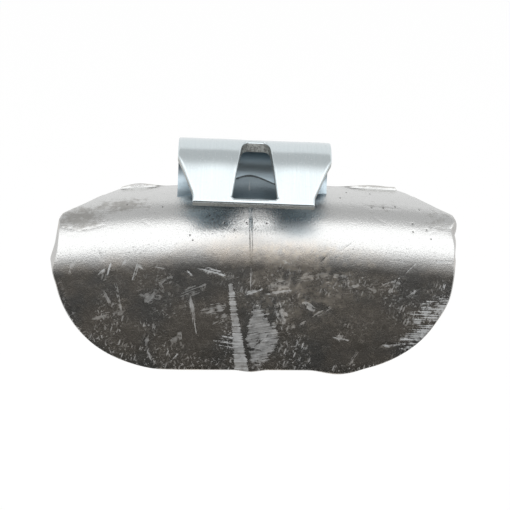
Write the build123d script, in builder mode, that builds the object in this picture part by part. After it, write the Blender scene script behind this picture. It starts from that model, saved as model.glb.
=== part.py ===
from build123d import *

import os
from math import cos, radians, sin, tan

os.makedirs("parts", exist_ok=True)

# Frame: the origin is the middle of the clip's loop, X runs along the rim, -Y looks at the tyre, +Z points
# away from the hub. All sizes are millimetres and degrees.

# Rim that the weight is made for
rim_radius = 300.0
seat_radius = 10.4

# Spring clip, one folded strip, cast in a little askew
sheet = 1.8
clip_width = 26.0
clip_skew = 2.0
loop_radius = 5.2
loop_lean = 70.0
leg_look = 42.5
leg_length = 7.0
leg_end_width = 20.5
leg_end_straight = 1.6
leg_taper_start = 54.0
window_margin = 1.25
window_foot_width = 7.7
window_head_width = 4.8
window_head_angle = 92.0
window_head_round = 0.75
window_foot_round = 0.3
tang_bend = 4.0
tang_length = 14.5
tang_hole_diameter = 5.0
tang_hole_spacing = 13.0
tang_hole_drop = 7.5

# Cast lead body
body_offset = 0.35
shoulder_half_length = 32.9
foot_half_length = 15.2
corner_radius = 20.0
foot_drop = 20.45
side_draft = 8.0
seat_bite = 0.8
seat_back = 2.7
foot_thickness = 7.5
end_facet_start = 23.7
end_facet_angle = 36.0
back_edge_round = 1.2
front_edge_break = 0.25

# Flash left along the parting edge
flash_offset = 20.2
flash_length = 8.0
flash_height = 0.55
flash_thickness = 0.4
end_flash_inset = 1.55
end_flash_rise = 6.5
end_flash_reach = 1.5
end_flash_drop = 4.0

# Overlap that lets a cutting tool pass clear of the face it opens
tool_run = 0.8

# Places worked out from the sizes above
loop_outer = loop_radius + sheet
leg_turn = 180.0 - leg_look
leg_normal = Vector(cos(radians(leg_turn)), sin(radians(leg_turn)))
leg_down = Vector(-sin(radians(leg_look)), -cos(radians(leg_look)))
lean_out = Vector(cos(radians(-loop_lean)), sin(radians(-loop_lean)))
seat_centre = lean_out * (seat_radius + loop_radius - seat_bite)
tang_centre = lean_out * (loop_radius + tang_bend)
tang_front = tang_centre.X - tang_bend
tang_foot = tang_centre.Y - tang_length
face_y = seat_centre.X - seat_radius
crest_z = seat_centre.Y + seat_radius
foot_z = seat_centre.Y - foot_drop
back_y = seat_centre.X + seat_back
body_half_length = foot_half_length + corner_radius
facet_reach = body_half_length - end_facet_start
parting_y = back_y - facet_reach * tan(radians(end_facet_angle))

# Sketch planes of the clip: end on, square to the free leg, and square to the tang
clip_along = Vector(1, 0, 0).rotate(Axis.Y, clip_skew)
clip_axis = Axis((0, 0, 0), clip_along)
end_plane = Plane(origin=(0, 0, 0), x_dir=(0, 1, 0), z_dir=clip_along)
leg_origin = end_plane.from_local_coords(leg_normal * loop_radius)
leg_plane = Plane(origin=leg_origin, x_dir=clip_along, z_dir=leg_origin)
tang_plane = Plane(origin=(0, 0, 0), x_dir=clip_along, z_dir=(0, -1, 0))
parting_plane = Plane(origin=(body_offset, parting_y, 0), x_dir=(1, 0, 0), z_dir=(0, -1, 0))

# Window of the free leg: a slanted opening whose cut faces stand square to the bent strip
with BuildPart() as window_tool:
    with BuildSketch(end_plane):
        with BuildLine():
            head_turn = 180.0 - window_head_angle
            head_out = Vector(cos(radians(head_turn)), sin(radians(head_turn)))
            tool_inner = loop_radius - tool_run
            tool_outer = loop_outer + tool_run
            run_down = leg_down * (leg_length - window_margin)
            CenterArc((0, 0), tool_inner, head_turn, leg_turn - head_turn)
            Line(leg_normal * tool_inner, leg_normal * tool_inner + run_down)
            Line(leg_normal * tool_inner + run_down, leg_normal * tool_outer + run_down)
            Line(leg_normal * tool_outer + run_down, leg_normal * tool_outer)
            CenterArc((0, 0), tool_outer, leg_turn, head_turn - leg_turn)
            Line(head_out * tool_outer, head_out * tool_inner)
        make_face()
    extrude(amount=clip_width / 2, both=True)
    with BuildSketch(leg_plane):
        with BuildLine():
            head_y = loop_outer * sin(radians(window_head_angle - leg_look))
            foot_y = window_margin - leg_length
            slope = (window_foot_width - window_head_width) / 2 / (head_y - foot_y)
            reach_y = head_y + tool_run
            reach_half = window_head_width / 2 - slope * tool_run
            drop_half = window_foot_width / 2 + slope * tool_run
            Polyline(
                (-drop_half, foot_y - tool_run),
                (drop_half, foot_y - tool_run),
                (reach_half, reach_y),
                (-reach_half, reach_y),
                close=True,
            )
        make_face()
    extrude(amount=loop_outer * 2, both=True, mode=Mode.INTERSECT)
    head_face = window_tool.faces().sort_by(Axis.Y)[-1]
    fillet(head_face.edges().filter_by(clip_axis, reverse=True), window_head_round)
    foot_face = window_tool.faces().sort_by(Axis.Z)[0]
    fillet(foot_face.edges().filter_by(clip_axis, reverse=True), window_foot_round)

# Spring clip: free leg, loop over the rim lip, then the tang that is cast into the lead
with BuildPart() as steel_clip:
    with BuildSketch(end_plane):
        with BuildLine():
            leg_end_inner = leg_normal * loop_radius + leg_down * leg_length
            leg_end_outer = leg_normal * loop_outer + leg_down * leg_length
            Line(leg_end_inner, leg_normal * loop_radius)
            CenterArc((0, 0), loop_radius, leg_turn, -leg_turn - loop_lean)
            CenterArc(tang_centre, tang_bend, 180.0 - loop_lean, loop_lean)
            Line((tang_front, tang_centre.Y), (tang_front, tang_foot))
            Line((tang_front, tang_foot), (tang_front + sheet, tang_foot))
            Line((tang_front + sheet, tang_foot), (tang_front + sheet, tang_centre.Y))
            CenterArc(tang_centre, tang_bend - sheet, 180.0, -loop_lean)
            CenterArc((0, 0), loop_outer, -loop_lean, leg_turn + loop_lean)
            Line(leg_normal * loop_outer, leg_end_outer)
            Line(leg_end_outer, leg_end_inner)
        make_face()
    extrude(amount=clip_width / 2, both=True)
    # Free leg drawn in towards its cut end
    with BuildSketch(leg_plane.offset(-tool_run)):
        taper_y = loop_outer * sin(radians(leg_taper_start - leg_look))
        straight_y = leg_end_straight - leg_length
        for hand in (-1, 1):
            with BuildLine():
                Polyline(
                    (hand * leg_end_width / 2, -leg_length - tool_run),
                    (hand * leg_end_width / 2, straight_y),
                    (hand * clip_width / 2, taper_y),
                    (hand * (clip_width / 2 + tool_run), taper_y),
                    (hand * (clip_width / 2 + tool_run), -leg_length - tool_run),
                    close=True,
                )
            make_face()
    extrude(amount=sheet + 2 * tool_run, mode=Mode.SUBTRACT)
    add(window_tool.part, mode=Mode.SUBTRACT)
    # Holes that the lead runs through, so the tang cannot pull out
    with BuildSketch(tang_plane):
        with Locations((0, tang_centre.Y - tang_hole_drop)):
            with GridLocations(tang_hole_spacing, 0, 2, 1):
                Circle(tang_hole_diameter / 2)
    extrude(amount=rim_radius / 10, both=True, mode=Mode.SUBTRACT)
steel_clip.part.label = "steel_clip"
export_step(steel_clip.part, "parts/steel_clip.step")

# Rim lip room over the seat, where the strip leaves the lead in the open
with BuildPart() as lip_room:
    with BuildSketch(end_plane):
        with BuildLine():
            Line((0, 0), lean_out * loop_radius)
            CenterArc((0, 0), loop_radius, -loop_lean, loop_lean)
            Line((loop_radius, 0), (0, 0))
        make_face()
    extrude(amount=clip_width / 2, both=True)

# Mould cavity: the cast outline drafted both ways from the parting plane, its rim-side edge broken
with BuildPart() as cavity:
    with BuildSketch(parting_plane) as cast_outline:
        with BuildLine():
            corner_z = foot_z + corner_radius
            rise_z = crest_z + 2 * tool_run
            Line((-foot_half_length, foot_z), (foot_half_length, foot_z))
            CenterArc((foot_half_length, corner_z), corner_radius, -90.0, 90.0)
            Line((body_half_length, corner_z), (shoulder_half_length, rise_z))
            Line((shoulder_half_length, rise_z), (-shoulder_half_length, rise_z))
            Line((-shoulder_half_length, rise_z), (-body_half_length, corner_z))
            CenterArc((-foot_half_length, corner_z), corner_radius, 180.0, 90.0)
        make_face()
    extrude(amount=parting_y - face_y, taper=side_draft)
    front_face = cavity.faces().sort_by(Axis.Y)[0]
    chamfer(front_face.edges().sort_by(Axis.Z)[:-1], front_edge_break)
    extrude(cast_outline.sketch, amount=-seat_radius * 2, taper=side_draft)

# Lead body: seat turned about the wheel axis, trimmed to the cast outline
with BuildPart() as lead_body:
    with BuildSketch(Plane.YZ.offset(body_offset)):
        with BuildLine():
            low_z = foot_z - seat_radius
            Line((face_y, low_z), (face_y, seat_centre.Y))
            CenterArc(seat_centre, seat_radius, 180.0, -90.0)
            Line((seat_centre.X, crest_z), (back_y, crest_z))
            lean_back = (back_y - face_y - foot_thickness) / (crest_z - foot_z)
            low_back = face_y + foot_thickness - lean_back * (foot_z - low_z)
            Line((back_y, crest_z), (low_back, low_z))
            Line((low_back, low_z), (face_y, low_z))
        make_face()
    revolve(axis=Axis((body_offset, 0, -rim_radius), (0, 1, 0)))
    add(cavity.part, mode=Mode.INTERSECT)
    # Ends thin towards their tips on the outer side
    with BuildSketch(Plane(origin=(body_offset, 0, 0))):
        for hand in (-1, 1):
            with BuildLine():
                tip_x = body_half_length + tool_run * 5
                tip_y = back_y - (tip_x - end_facet_start) * tan(radians(end_facet_angle))
                past_y = back_y + tool_run * 5
                past_x = end_facet_start - (past_y - back_y) / tan(radians(end_facet_angle))
                Polyline(
                    (hand * past_x, past_y),
                    (hand * tip_x, tip_y),
                    (hand * tip_x, past_y),
                    close=True,
                )
            make_face()
    extrude(amount=rim_radius / 5, both=True, mode=Mode.SUBTRACT)
    # Edges of the hidden outer side softly rounded
    outer_face = lead_body.faces().filter_by(GeomType.CONE).sort_by(SortBy.AREA)[-1]
    outer_edges = outer_face.edges().filter_by(lambda edge: edge.center().Z < crest_z - seat_radius / 2)
    fillet(outer_edges, back_edge_round)
    # Flash that squeezed out along the top edge and at one end
    flash_y = back_y - flash_thickness
    with BuildSketch(Plane(origin=(body_offset, flash_y, 0), x_dir=(1, 0, 0), z_dir=(0, -1, 0))):
        flash_sag = rim_radius - (rim_radius**2 - flash_offset**2) ** 0.5
        with Locations((-flash_offset, crest_z - flash_sag), (flash_offset, crest_z - flash_sag)):
            Ellipse(flash_length / 2, flash_height)
    extrude(amount=flash_thickness)
    with BuildSketch(parting_plane):
        end_flash_x = body_half_length - end_flash_inset
        end_flash_z = crest_z - end_flash_drop - end_flash_rise / 2
        with Locations((end_flash_x, end_flash_z)):
            Ellipse(end_flash_reach, end_flash_rise / 2)
    extrude(amount=flash_thickness)
    add(steel_clip.part, mode=Mode.SUBTRACT)
    add(lip_room.part, mode=Mode.SUBTRACT)

lead_body.part.label = "lead_body"
export_step(lead_body.part, "parts/lead_body.step")
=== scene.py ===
from math import cos, pi, radians, sin, tan

import bpy
import numpy as np
from mathutils import Matrix, Vector


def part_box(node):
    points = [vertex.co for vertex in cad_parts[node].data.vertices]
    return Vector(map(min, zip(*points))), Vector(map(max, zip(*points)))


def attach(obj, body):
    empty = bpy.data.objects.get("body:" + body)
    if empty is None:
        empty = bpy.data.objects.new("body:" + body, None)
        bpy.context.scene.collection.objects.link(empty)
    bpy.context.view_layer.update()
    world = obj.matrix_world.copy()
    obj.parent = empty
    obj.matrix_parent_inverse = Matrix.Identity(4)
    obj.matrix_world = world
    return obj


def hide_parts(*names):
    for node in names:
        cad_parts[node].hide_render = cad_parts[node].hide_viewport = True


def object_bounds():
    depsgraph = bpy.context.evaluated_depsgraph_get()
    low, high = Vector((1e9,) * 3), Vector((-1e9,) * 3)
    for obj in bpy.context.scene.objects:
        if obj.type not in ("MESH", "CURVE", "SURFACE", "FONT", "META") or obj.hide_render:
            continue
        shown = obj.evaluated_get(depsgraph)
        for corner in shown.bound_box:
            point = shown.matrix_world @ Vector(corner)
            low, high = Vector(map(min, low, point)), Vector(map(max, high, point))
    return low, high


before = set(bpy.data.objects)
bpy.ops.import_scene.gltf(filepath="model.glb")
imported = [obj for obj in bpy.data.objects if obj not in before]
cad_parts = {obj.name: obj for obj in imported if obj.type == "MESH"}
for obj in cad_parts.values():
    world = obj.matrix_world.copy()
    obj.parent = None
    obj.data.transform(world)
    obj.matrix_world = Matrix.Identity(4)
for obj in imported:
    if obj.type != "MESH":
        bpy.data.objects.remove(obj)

cad_low, cad_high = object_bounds()


# Spring clip: a strip of spring steel 1.8 mm thick, folded into a loop that grips the rim lip.
# It is blanked, bent and zinc plated before the lead is cast round its tang, and its torn cut edges
# stay duller than the rolled faces. A slanted window is punched through the leg and into the loop.

MM = 0.001
gauge = 1.8
clip_width = 26.0
clip_skew = radians(2.0)
loop_radius = 5.2
loop_lean = 70.0
leg_turn = 137.5
leg_length = 7.0
leg_end_width = 20.5
leg_end_straight = 1.6
taper_top = 1.4
window_margin = 0.95
window_foot_width = 7.7
window_head_width = 4.45
window_head_turn = 49.5
window_shift = 0.15
window_round = 0.95
window_round_run = 2.0
foot_round = 0.4
edge_roll = 0.32
edge_break = 0.09
edge_break_turn = 50.0
bend_radius = 4.0
tang_length = 14.5


def ease(value, start, stop):
    """0 before start, 1 past stop, and a cubic between that is level at both."""
    share = np.clip((value - start) / (stop - start), 0.0, 1.0)
    return share * share * (3.0 - 2.0 * share)


def line(start, stop, cells):
    """Evenly spaced values or points from start to stop."""
    return np.linspace(start, stop, cells + 1)


def runs(*legs):
    """Joins runs of values or points without repeating the ones where they meet."""
    return np.concatenate([leg[:-1] for leg in legs[:-1]] + [legs[-1]])


# Middle line of the strip: its direction turns along the loop, back at the tang, and eases into the leg
middle_radius = loop_radius + gauge / 2
loop_end = leg_length + middle_radius * radians(leg_turn + loop_lean)
bend_end = loop_end + (bend_radius - gauge / 2) * radians(loop_lean)
tang_end = bend_end + tang_length
leg_blend = 2.6
run_step = 0.02
run = np.arange(0.0, tang_end + run_step, run_step)
curl = ease(run, leg_length - leg_blend, leg_length + leg_blend) / middle_radius * (run < loop_end)
curl = curl - ((run >= loop_end) & (run < bend_end)) / (bend_radius - gauge / 2)
heading = radians(leg_turn - 90.0) - np.cumsum(curl) * run_step
track = np.cumsum(np.stack([np.cos(heading), np.sin(heading)], 1), 0) * run_step
loop_top = np.argmax(heading < 0.0)
track = track - track[loop_top] + (0.0, middle_radius)

# Rows along the strip, closer where the window's corners are round
window_foot = window_margin
window_head = leg_length + middle_radius * radians(window_head_turn)
corner_way = window_round_run * (1.0 - np.cos(line(0.0, pi / 2, 9)))
edge_way = edge_roll * (1.0 - np.cos(line(0.0, pi / 2, 4)))
way = runs(
    edge_way,
    line(edge_roll, window_foot, 3),
    line(window_foot, window_foot + foot_round, 3),
    line(window_foot + foot_round, window_head - window_round_run, 32),
    window_head - corner_way[::-1],
    window_head + edge_way,
    line(window_head + edge_roll, loop_end, 54),
    line(loop_end, bend_end, 14),
    line(bend_end, tang_end, 8),
)
middle_line = np.stack([np.interp(way, run, track[:, axis]) for axis in (0, 1)], 1)
facing = np.interp(way, run, heading)
outward = np.stack([-np.sin(facing), np.cos(facing)], 1)

# Columns across it: the left bar, the window and the right bar, whose edges follow the taper
up_leg = np.array([cos(radians(leg_turn - 90.0)), sin(radians(leg_turn - 90.0))])
leg_face = np.array([-up_leg[1], up_leg[0]]) * (loop_radius + gauge)
along_leg = (middle_line + outward * gauge / 2 - leg_face) @ up_leg
along_leg = np.where(way > window_head, window_head, along_leg)
taper_run = taper_top + leg_length - leg_end_straight
taper = np.clip((along_leg + leg_length - leg_end_straight) / taper_run, 0.0, 1.0)
half_width = (leg_end_width + (clip_width - leg_end_width) * taper) / 2
head_rise = (loop_radius + gauge) * sin(radians(window_head_turn))
window_run = head_rise + leg_length - window_foot
window_share = np.clip((along_leg + leg_length - window_foot) / window_run, 0.0, 1.0)
opening = (window_foot_width + (window_head_width - window_foot_width) * window_share) / 2
into_head = np.clip(1.0 - (window_head - way) / window_round_run, 0.0, 1.0)
into_foot = np.clip(1.0 - (way - window_foot) / foot_round, 0.0, 1.0)
opening = opening - window_round * (1.0 - np.sqrt(1.0 - into_head**2))
opening = opening - foot_round * (1.0 - np.sqrt(1.0 - into_foot**2))
bar_cells, window_cells = 26, 12
bar_span = (1.0 - np.cos(pi * line(0.0, 1.0, bar_cells))) / 2
window_span = window_shift + opening[:, None] * line(-1.0, 1.0, window_cells)
left_bar = -half_width[:, None] + (half_width - opening + window_shift)[:, None] * bar_span
right_bar = (opening + window_shift)[:, None] + (half_width - opening - window_shift)[:, None] * bar_span
across_strip = np.concatenate([left_bar[:, :-1], window_span, right_bar[:, 1:]], 1)
strip_rows, strip_columns = across_strip.shape

# Folding leaves the strip a few hundredths of a millimetre off true
wave_height, ripple_height = 0.02, 0.012
strip_waves = wave_height * np.sin(0.42 * across_strip + 0.9) * np.sin(0.31 * way[:, None] + 0.4)
strip_waves += ripple_height * np.sin(0.9 * across_strip - 0.5 * way[:, None])

# Punching rolls the outer edges of the strip and of its window
beside = np.abs(across_strip - window_shift) - opening[:, None]
beyond = np.where(way > window_head, way - window_head, window_foot - way)[:, None]
to_window = np.hypot(np.clip(beside, 0.0, None), np.clip(beyond, 0.0, None))
to_edge = np.minimum(np.minimum(half_width[:, None] - np.abs(across_strip), way[:, None]), to_window)
rolled = edge_roll - np.sqrt(edge_roll**2 - np.clip(edge_roll - to_edge, 0.0, edge_roll) ** 2)
along_clip = np.array([cos(clip_skew), 0.0, -sin(clip_skew)])
up_clip = np.array([sin(clip_skew), 0.0, cos(clip_skew)])


def strip_face(offset):
    """Points of one face of the strip, offset from its middle line along its outward direction."""
    y = middle_line[:, :1] + outward[:, :1] * (offset + strip_waves)
    z = middle_line[:, 1:] + outward[:, 1:] * (offset + strip_waves)
    return across_strip[..., None] * along_clip + y[..., None] * (0.0, 1.0, 0.0) + z[..., None] * up_clip


both_faces = [strip_face(gauge / 2 - rolled), strip_face(-gauge / 2)]
strip_points = np.concatenate(both_faces).reshape(-1, 3)
outer_face = np.arange(strip_rows * strip_columns).reshape(strip_rows, strip_columns)
inner_face = outer_face + strip_rows * strip_columns
window_ends = np.searchsorted(way, (window_foot - run_step, window_head - run_step))
window_rows = slice(*window_ends)
window_columns = slice(bar_cells, bar_cells + window_cells)
solid = np.ones((strip_rows - 1, strip_columns - 1), bool)
solid[window_rows, window_columns] = False


def sheet_quads(grid):
    """Quads of a face, less those of the window."""
    return np.stack([grid[:-1, :-1], grid[:-1, 1:], grid[1:, 1:], grid[1:, :-1]], -1)[solid]


def wall_quads(first, second):
    """Quads of a wall between matching lines of points on the two faces."""
    return np.stack([first[:-1], second[:-1], second[1:], first[1:]], -1)


shaft = slice(window_rows.start, window_rows.stop + 1)
sill = slice(window_columns.start, window_columns.stop + 1)
cut_walls = [
    wall_quads(outer_face[:, -1], inner_face[:, -1]),
    wall_quads(inner_face[:, 0], outer_face[:, 0]),
    wall_quads(outer_face[shaft, window_columns.start], inner_face[shaft, window_columns.start]),
    wall_quads(inner_face[shaft, window_columns.stop], outer_face[shaft, window_columns.stop]),
    wall_quads(outer_face[0], inner_face[0]),
    wall_quads(inner_face[-1], outer_face[-1]),
    wall_quads(outer_face[window_rows.stop, sill], inner_face[window_rows.stop, sill]),
    wall_quads(inner_face[window_rows.start, sill], outer_face[window_rows.start, sill]),
]
strip_faces = [sheet_quads(outer_face), sheet_quads(inner_face)[:, ::-1], *cut_walls]

# A face of the mesh is on the outside (0), on the inside (1) or cut (2)
kinds = np.concatenate([np.full(len(group), min(kind, 2)) for kind, group in enumerate(strip_faces)])
used, quad_points = np.unique(np.concatenate(strip_faces), return_inverse=True)
mesh = bpy.data.meshes.new("steel_clip_strip")
mesh.from_pydata((strip_points[used] * MM).tolist(), [], quad_points.reshape(-1, 4).tolist())
mesh.update()
for name, field in {"inside": kinds == 1, "cut": kinds == 2}.items():
    layer = mesh.attributes.new(name, "FLOAT", "FACE")
    layer.data.foreach_set("value", field.astype(np.float32))
mesh.shade_smooth()
clip_piece = bpy.data.objects.new("steel_clip_strip", mesh)
bpy.context.scene.collection.objects.link(clip_piece)
rounding = clip_piece.modifiers.new("rolled_edges", "BEVEL")
rounding.width = edge_break * MM
rounding.segments = 2
rounding.limit_method = "ANGLE"
rounding.angle_limit = radians(edge_break_turn)
rounding.harden_normals = True


class Wire:
    """A shader socket in an expression: arithmetic adds Math nodes, and node() adds any other node."""

    def __init__(self, tree, socket=None):
        self.tree = tree
        self.socket = socket

    def node(self, kind, settings=None, inputs=None, output=0):
        """Adds a node of that kind, sets its settings, then its sockets by value or link."""
        made = self.tree.nodes.new(kind)
        for name, value in (settings or {}).items():
            setattr(made, name, value)
        for key, value in (inputs or {}).items():
            if isinstance(value, Wire):
                value.into(made.inputs[key])
            else:
                made.inputs[key].default_value = value
        return Wire(self.tree, made.outputs[output])

    def into(self, socket):
        """Links this value to a node's socket."""
        self.tree.links.new(self.socket, socket)

    def math(self, operation, *values):
        """A Math node of that operation."""
        return self.node("ShaderNodeMath", {"operation": operation}, dict(enumerate(values)))

    def __add__(self, other):
        return self.math("ADD", self, other)

    def __mul__(self, other):
        return self.math("MULTIPLY", self, other)

    def __sub__(self, other):
        return self.math("SUBTRACT", self, other)

    def __rsub__(self, other):
        return self.math("SUBTRACT", other, self)

    __radd__ = __add__
    __rmul__ = __mul__

    def most(self, other):
        """The larger of this value and another."""
        return self.math("MAXIMUM", self, other)

    def step(self, low, high):
        """0 below low, 1 above high, eased between."""
        limits = {"From Min": low, "From Max": high}
        eased = {"interpolation_type": "SMOOTHSTEP"}
        return self.node("ShaderNodeMapRange", eased, {"Value": self, **limits})

    def tint(self, first, second):
        """A colour that goes from first to second as this value goes from 0 to 1."""
        colours = {0: self, 6: first, 7: second}
        return self.node("ShaderNodeMix", {"data_type": "RGBA"}, colours, 2)


def new_material(name):
    """An empty node material: the material, its tree as a Wire, and its output's surface socket."""
    material = bpy.data.materials.new(name)
    material.use_nodes = True
    material.node_tree.nodes.clear()
    output = material.node_tree.nodes.new("ShaderNodeOutputMaterial")
    return material, Wire(material.node_tree), output.inputs["Surface"]


def marked(paint, name):
    """The value of the piece's own attribute of that name."""
    return paint.node("ShaderNodeAttribute", {"attribute_name": name}, {}, "Fac")


def noise(vector, scale, detail):
    """A noise value, about 0.5, at that scale."""
    return vector.node("ShaderNodeTexNoise", {}, {"Vector": vector, "Scale": scale, "Detail": detail}, "Fac")


# Zinc: blue-white and drawn along the strip, painted shade inside the loop, grey and torn where it was cut
zinc_colour = (0.65, 0.71, 0.73, 1.0)
drawn_colour = (0.625, 0.688, 0.71, 1.0)
# Inside faces of the loop are painted a little darker and bluer than the outside, as painted shade
shaded_inside_colour = (0.56, 0.66, 0.72, 1.0)
# Dark blue-grey painted on the steel deep inside the loop: painted shade under its head
loop_shade_colour = (0.29, 0.35, 0.385, 1.0)
cut_colour = (0.52, 0.54, 0.52, 1.0)
torn_colour = (0.27, 0.275, 0.265, 1.0)
drawn_scale = (5000.0, 120.0, 120.0)
loop_shade_half, loop_shade_end = 4.5 * MM, 9.0 * MM
loop_shade_front, loop_shade_back, loop_shade_top = -4.0 * MM, -1.0 * MM, 3.5 * MM
torn_half, torn_end = 6.0 * MM, 9.0 * MM

# The lead will climb the strip inside the loop in an arch; a painted highlight runs along the top of it
ridge_x = -0.45
film = 0.07
arch_fall = 4.6
arch_round = 1.2
arch_slope = radians(arch_fall) * (loop_radius - film)
painted_glint_low, painted_glint_peak, painted_glint_high = -0.6 * MM, 0.1 * MM, 1.3 * MM

zinc, wire, surface = new_material("zinc_steel")
inside, cut = marked(wire, "inside"), marked(wire, "cut")
place_in = wire.node("ShaderNodeTexCoord", {}, {}, "Object")
strip_x, strip_y, strip_z = (wire.node("ShaderNodeSeparateXYZ", {}, {0: place_in}, axis) for axis in "XYZ")
drawn = wire.node("ShaderNodeMapping", {}, {"Vector": place_in, "Scale": drawn_scale})
streaks = noise(drawn, 1.0, 2.0)
mottle = noise(place_in, 3600.0, 4.0)
off_middle = wire.math("ABSOLUTE", strip_x)
# Painted shade inside the loop, stronger towards the back and the top, fading out to the sides
loop_shade = (1.0 - off_middle.step(loop_shade_half, loop_shade_end)) * strip_y.step(loop_shade_front, loop_shade_back)
loop_shade = loop_shade * (0.35 + 0.65 * strip_z.step(0.0, loop_shade_top))
# Painted highlight: a lighter band just above the lead's arch, laid over the painted shade
from_ridge = strip_x - ridge_x * MM
over_arch = strip_z + arch_slope * wire.math("SQRT", from_ridge * from_ridge + (arch_round * MM) ** 2)
painted_glint = over_arch.step(painted_glint_low, painted_glint_peak) * (1.0 - over_arch.step(painted_glint_peak, painted_glint_high))
torn = mottle.step(0.42, 0.6) * (0.2 + 0.8 * (1.0 - off_middle.step(torn_half, torn_end)))
colour = streaks.step(0.3, 0.75).tint(zinc_colour, drawn_colour)
# Painted shade on the inside faces, darker deep in the loop; a painted highlight lightens it along the arch
colour = inside.tint(colour, loop_shade.tint(shaded_inside_colour, loop_shade_colour))
colour = (painted_glint * loop_shade * inside).tint(colour, shaded_inside_colour)
colour = cut.tint(colour, torn.tint(cut_colour, torn_colour))
rough = 0.16 + 0.1 * streaks + 0.1 * inside + 0.25 * cut + 0.1 * mottle.step(0.5, 0.8)
drawn_lines = {"Strength": 0.12, "Distance": 0.02 * MM, "Height": streaks}
drawn_bump = wire.node("ShaderNodeBump", {}, drawn_lines, "Normal")
inputs = {"Base Color": colour, "Metallic": 1.0, "Roughness": rough, "Normal": drawn_bump}
wire.node("ShaderNodeBsdfPrincipled", {}, inputs).into(surface)
mesh.materials.append(zinc)
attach(clip_piece, "root")
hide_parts("steel_clip")


# Lead body: one casting, poured round the clip's tang in a two-part mould. The side shown sits on
# the rim and follows its curve; the mould leaves thin flash on the parting edge, and the soft
# metal is nicked, scraped and clouded by handling.

low, high = (np.array(point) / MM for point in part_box("lead_body"))
wheel_radius = 300.0
seat_radius = 10.4
face_y = low[1]
back_y = high[1]
foot_z = low[2]
crest_z = high[2]
seat_y = face_y + seat_radius
seat_z = crest_z - seat_radius
foot_thickness = 7.5
foot_half = 15.2
shoulder_half = 32.9
corner_radius = 20.0
body_half = foot_half + corner_radius
body_offset = 0.35
shoulder_rise = 1.6
side_draft = tan(radians(8.0))
facet_start = 23.7
facet_slope = tan(radians(36.0))
parting_y = back_y - (body_half - facet_start) * facet_slope
corner_z = foot_z + corner_radius
side_lean = (body_half - shoulder_half) / (crest_z + shoulder_rise - corner_z)
back_cells = 76
fine = 5
front_cells = back_cells * fine


def outline(y, z):
    """Half the length of the casting at depth y and height z: a quarter circle, then a leaning line.

    Both are set in by the draft, which grows away from the parting line.
    """
    inset = np.abs(y - parting_y) * side_draft
    below = np.clip(corner_z - z, 0.0, None)
    round_part = foot_half + np.sqrt(np.clip((corner_radius - inset) ** 2 - below**2, 0.0, None))
    straight_part = body_half - inset - side_lean * (z - corner_z)
    return np.where(z < corner_z, round_part, straight_part)


def facet(y):
    """Half the length that the slanted end facets leave, a straight line in the depth y."""
    return facet_start + (back_y - y) / facet_slope


def bow(x, height):
    """Drop of a circle round the axle, at x from the middle; eased out towards the straight foot."""
    share = ease(height, foot_z, seat_z)
    rim = wheel_radius + height
    return share * (rim - np.sqrt(rim**2 - (x - body_offset) ** 2))


def place(share, rows):
    """Points at a share -1..1 of the half length of each row of (y, height), bowed along the rim."""
    y, height = rows[..., 0], rows[..., 1]
    reach = np.minimum(outline(y, height), facet(y))
    sunk = height - bow(share * reach + body_offset, height)
    x = share * np.minimum(outline(y, sunk), facet(y)) + body_offset
    return np.stack([x, y + 0 * x, height - bow(x, height)], -1)


# Rows of the section: under the foot, up the rim face, round the seat and over to the back edge
edge = 0.3
back_edge = 1.0
foot_front = foot_z + (parting_y - face_y) * side_draft
foot_back_y = face_y + foot_thickness
foot_back = foot_z + (foot_back_y - parting_y) * side_draft
under_rows, edge_rows, face_rows, seat_rows, top_rows = 6, 4, 92, 84, 12
quarter = line(0.0, pi / 2, edge_rows)
edge_arc = np.stack([face_y + edge - edge * np.sin(quarter), foot_front + edge - edge * np.cos(quarter)], 1)
seat_turn = line(0.0, pi / 2, seat_rows)
seat_arc = np.stack([seat_y - seat_radius * np.cos(seat_turn), seat_z + seat_radius * np.sin(seat_turn)], 1)
front_rows = runs(
    line((parting_y, foot_z), edge_arc[0], under_rows),
    edge_arc,
    line(edge_arc[-1], (face_y, seat_z), face_rows),
    seat_arc,
    line(seat_arc[-1], (back_y, crest_z), top_rows),
)
lean_back = (back_y - foot_back_y) / (crest_z - foot_z)
face_rise = front_rows[under_rows + edge_rows : -top_rows, 1]
back_share = 0.92
back_height = foot_back + back_edge + (face_rise - face_rise[0]) * back_share
back_leg = np.stack([foot_back_y + lean_back * (back_height - foot_z), back_height], 1)
back_corner = back_leg[0] - (back_edge, 0.0)
back_arc = back_corner + back_edge * np.stack([np.sin(quarter), -np.cos(quarter)], 1)
back_rows = runs(
    line((parting_y, foot_z), back_arc[0], under_rows),
    back_arc,
    back_leg,
    line(back_leg[-1], (back_y, crest_z), top_rows),
)

# Columns of the end walls stand where the draft turns at the parting line and where the facet starts
draft_cells, wall_cells, facet_cells = 3, 3, 4
thin = 0.03
halvings = 24


def between(share):
    """The rows at a share of the way from the front rows to the back rows."""
    return front_rows[:, None] * (1.0 - share[..., None]) + back_rows[:, None] * share[..., None]


def wall_shows(share):
    """True where the drafted wall, at that share of the way back, lies inside the slanted facet."""
    rows = between(share)
    y, height = rows[..., 0], rows[..., 1]
    return facet(y) > outline(y, height - bow(outline(y, height), height))


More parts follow.
